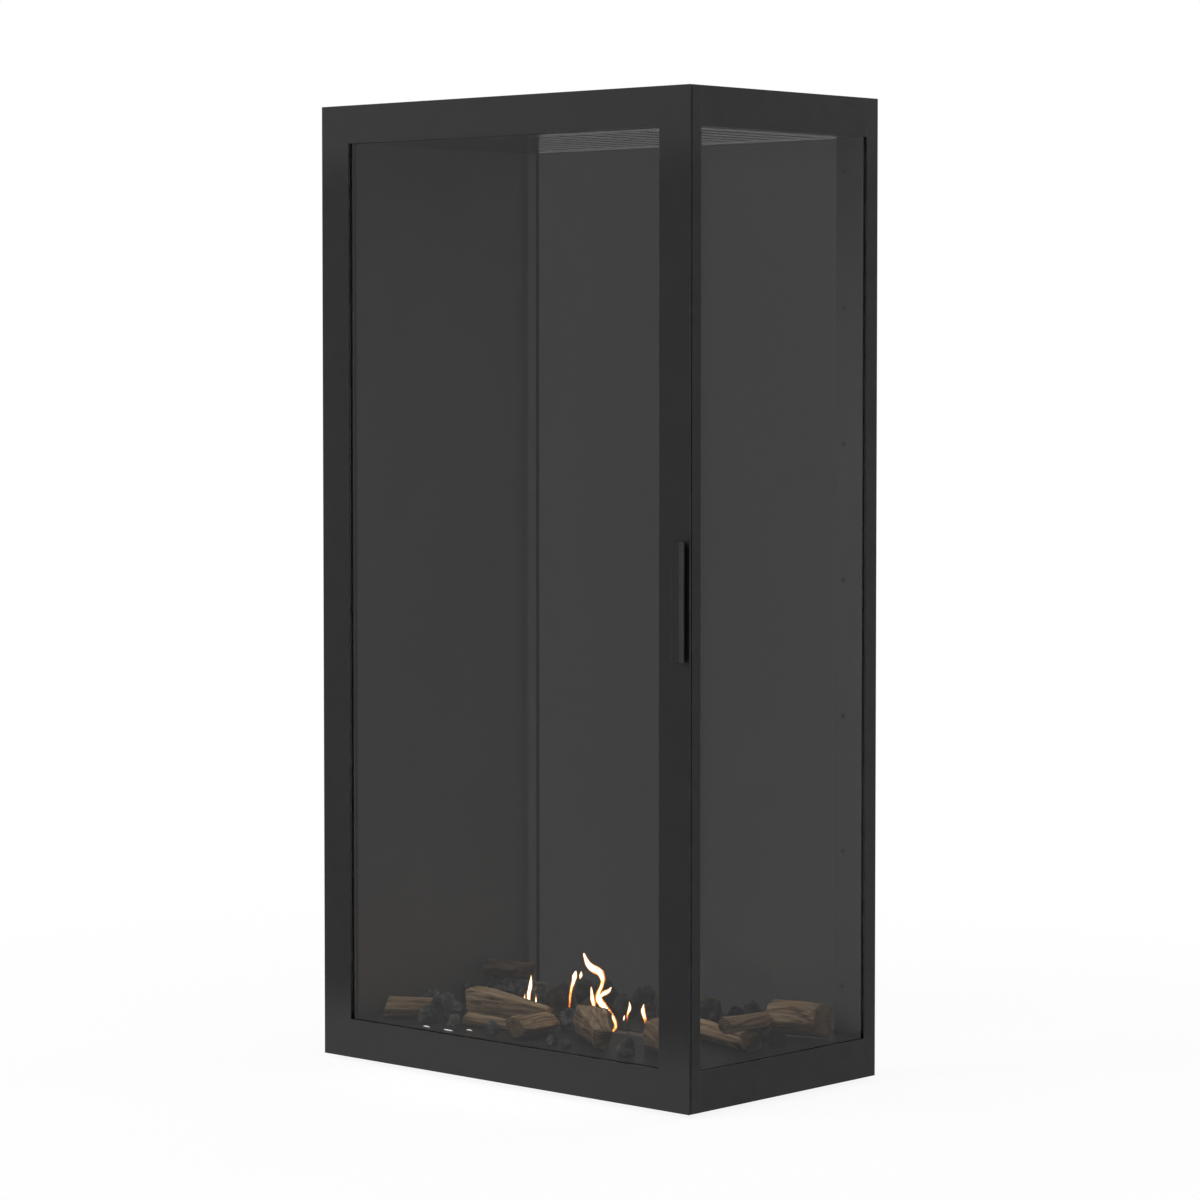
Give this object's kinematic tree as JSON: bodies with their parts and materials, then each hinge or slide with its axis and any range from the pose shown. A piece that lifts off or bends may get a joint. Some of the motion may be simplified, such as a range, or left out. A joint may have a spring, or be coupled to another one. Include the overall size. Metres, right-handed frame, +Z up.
{
  "type": "glazed fireplace",
  "caption": "Tall free-standing black fireplace, glazed on front, side and back, with a hinged glass door, slotted vent top and ceramic logs round a slot burner.",
  "frame": {"origin": "on the floor, in the middle of the outline", "axes": "+Z up, the door faces -Y, the glazed side faces +X and the closed side -X"},
  "size_m": [0.7, 0.406, 1.37],
  "materials": {
    "powder_coat": "satin black powder coat",
    "liner_paint": "matt black heat-resistant paint",
    "hearth_enamel": "gloss black enamel",
    "tinted_glass": "smoke-tinted ceramic glass",
    "fibre_tape": "black woven fibre tape",
    "stainless": "brushed stainless steel",
    "hinge_steel": "satin black",
    "washer_brass": "turned brass",
    "magnet_black": "matt black ferrite",
    "foot_rubber": "matt black rubber",
    "insulation_board": "pale pressed mineral board",
    "ceramic_wool": "white ceramic fibre",
    "ceramic_log": "matt cast ceramic with split-wood grain",
    "charred_coal": "matt cast ceramic, charred"
  },
  "bodies": {
    "case": {"front_frame": "powder_coat", "rear_frame": "powder_coat", "side_bottom_rail": "powder_coat", "side_top_rail": "powder_coat", "left_outer_panel": "powder_coat", "base_pan": "powder_coat", "top_cover": "powder_coat", "left_liner": "liner_paint", "ceiling_grille": "liner_paint", "rear_glass_strips": "liner_paint", "side_glass_strips": "liner_paint", "hearth_plate": "hearth_enamel", "rear_glass": "tinted_glass", "side_glass": "tinted_glass", "rear_tape": "fibre_tape", "side_tape": "fibre_tape", "burner_tray": "stainless", "snuffer_runner_front": "stainless", "snuffer_runner_rear": "stainless", "hinge_bottom_case_half": "hinge_steel", "hinge_middle_case_half": "hinge_steel", "hinge_top_case_half": "hinge_steel", "hinge_bottom_washer": "washer_brass", "hinge_middle_washer": "washer_brass", "hinge_top_washer": "washer_brass", "catch_magnets": "magnet_black", "feet": "foot_rubber", "left_insulation": "insulation_board", "ceramic_wool": "ceramic_wool", "log_front_left": "ceramic_log", "log_left_split": "ceramic_log", "log_left_branch": "ceramic_log", "log_front_middle": "ceramic_log", "log_front_split": "ceramic_log", "log_front_right": "ceramic_log", "log_right_low": "ceramic_log", "log_right_rear": "ceramic_log", "log_rear_middle": "ceramic_log", "log_rear_left": "ceramic_log", "log_right_top": "ceramic_log", "log_left_top": "ceramic_log", "coals_front": "charred_coal", "coals_rear": "charred_coal"},
    "door": {"door_panel": "powder_coat", "door_glass": "tinted_glass", "door_tape": "fibre_tape", "door_glass_strips": "liner_paint", "door_seal": "fibre_tape", "door_handle": "powder_coat", "hinge_bottom_door_half": "hinge_steel", "hinge_middle_door_half": "hinge_steel", "hinge_top_door_half": "hinge_steel"},
    "left_snuffer": {"snuffer_left": "stainless"},
    "right_snuffer": {"snuffer_right": "stainless"}
  },
  "joints": [
    {"name": "door_hinge", "type": "hinge", "parent": "case", "child": "door", "pos_m": [-0.344, -0.183, 0.688], "axis": [0, 0, -1], "range_deg": [0, 110]},
    {"name": "left_snuffer_slide", "type": "slide", "parent": "case", "child": "left_snuffer", "axis": [1, 0, 0], "range_m": [0, 0.145]},
    {"name": "right_snuffer_slide", "type": "slide", "parent": "case", "child": "right_snuffer", "axis": [-1, 0, 0], "range_m": [0, 0.145]}
  ]
}
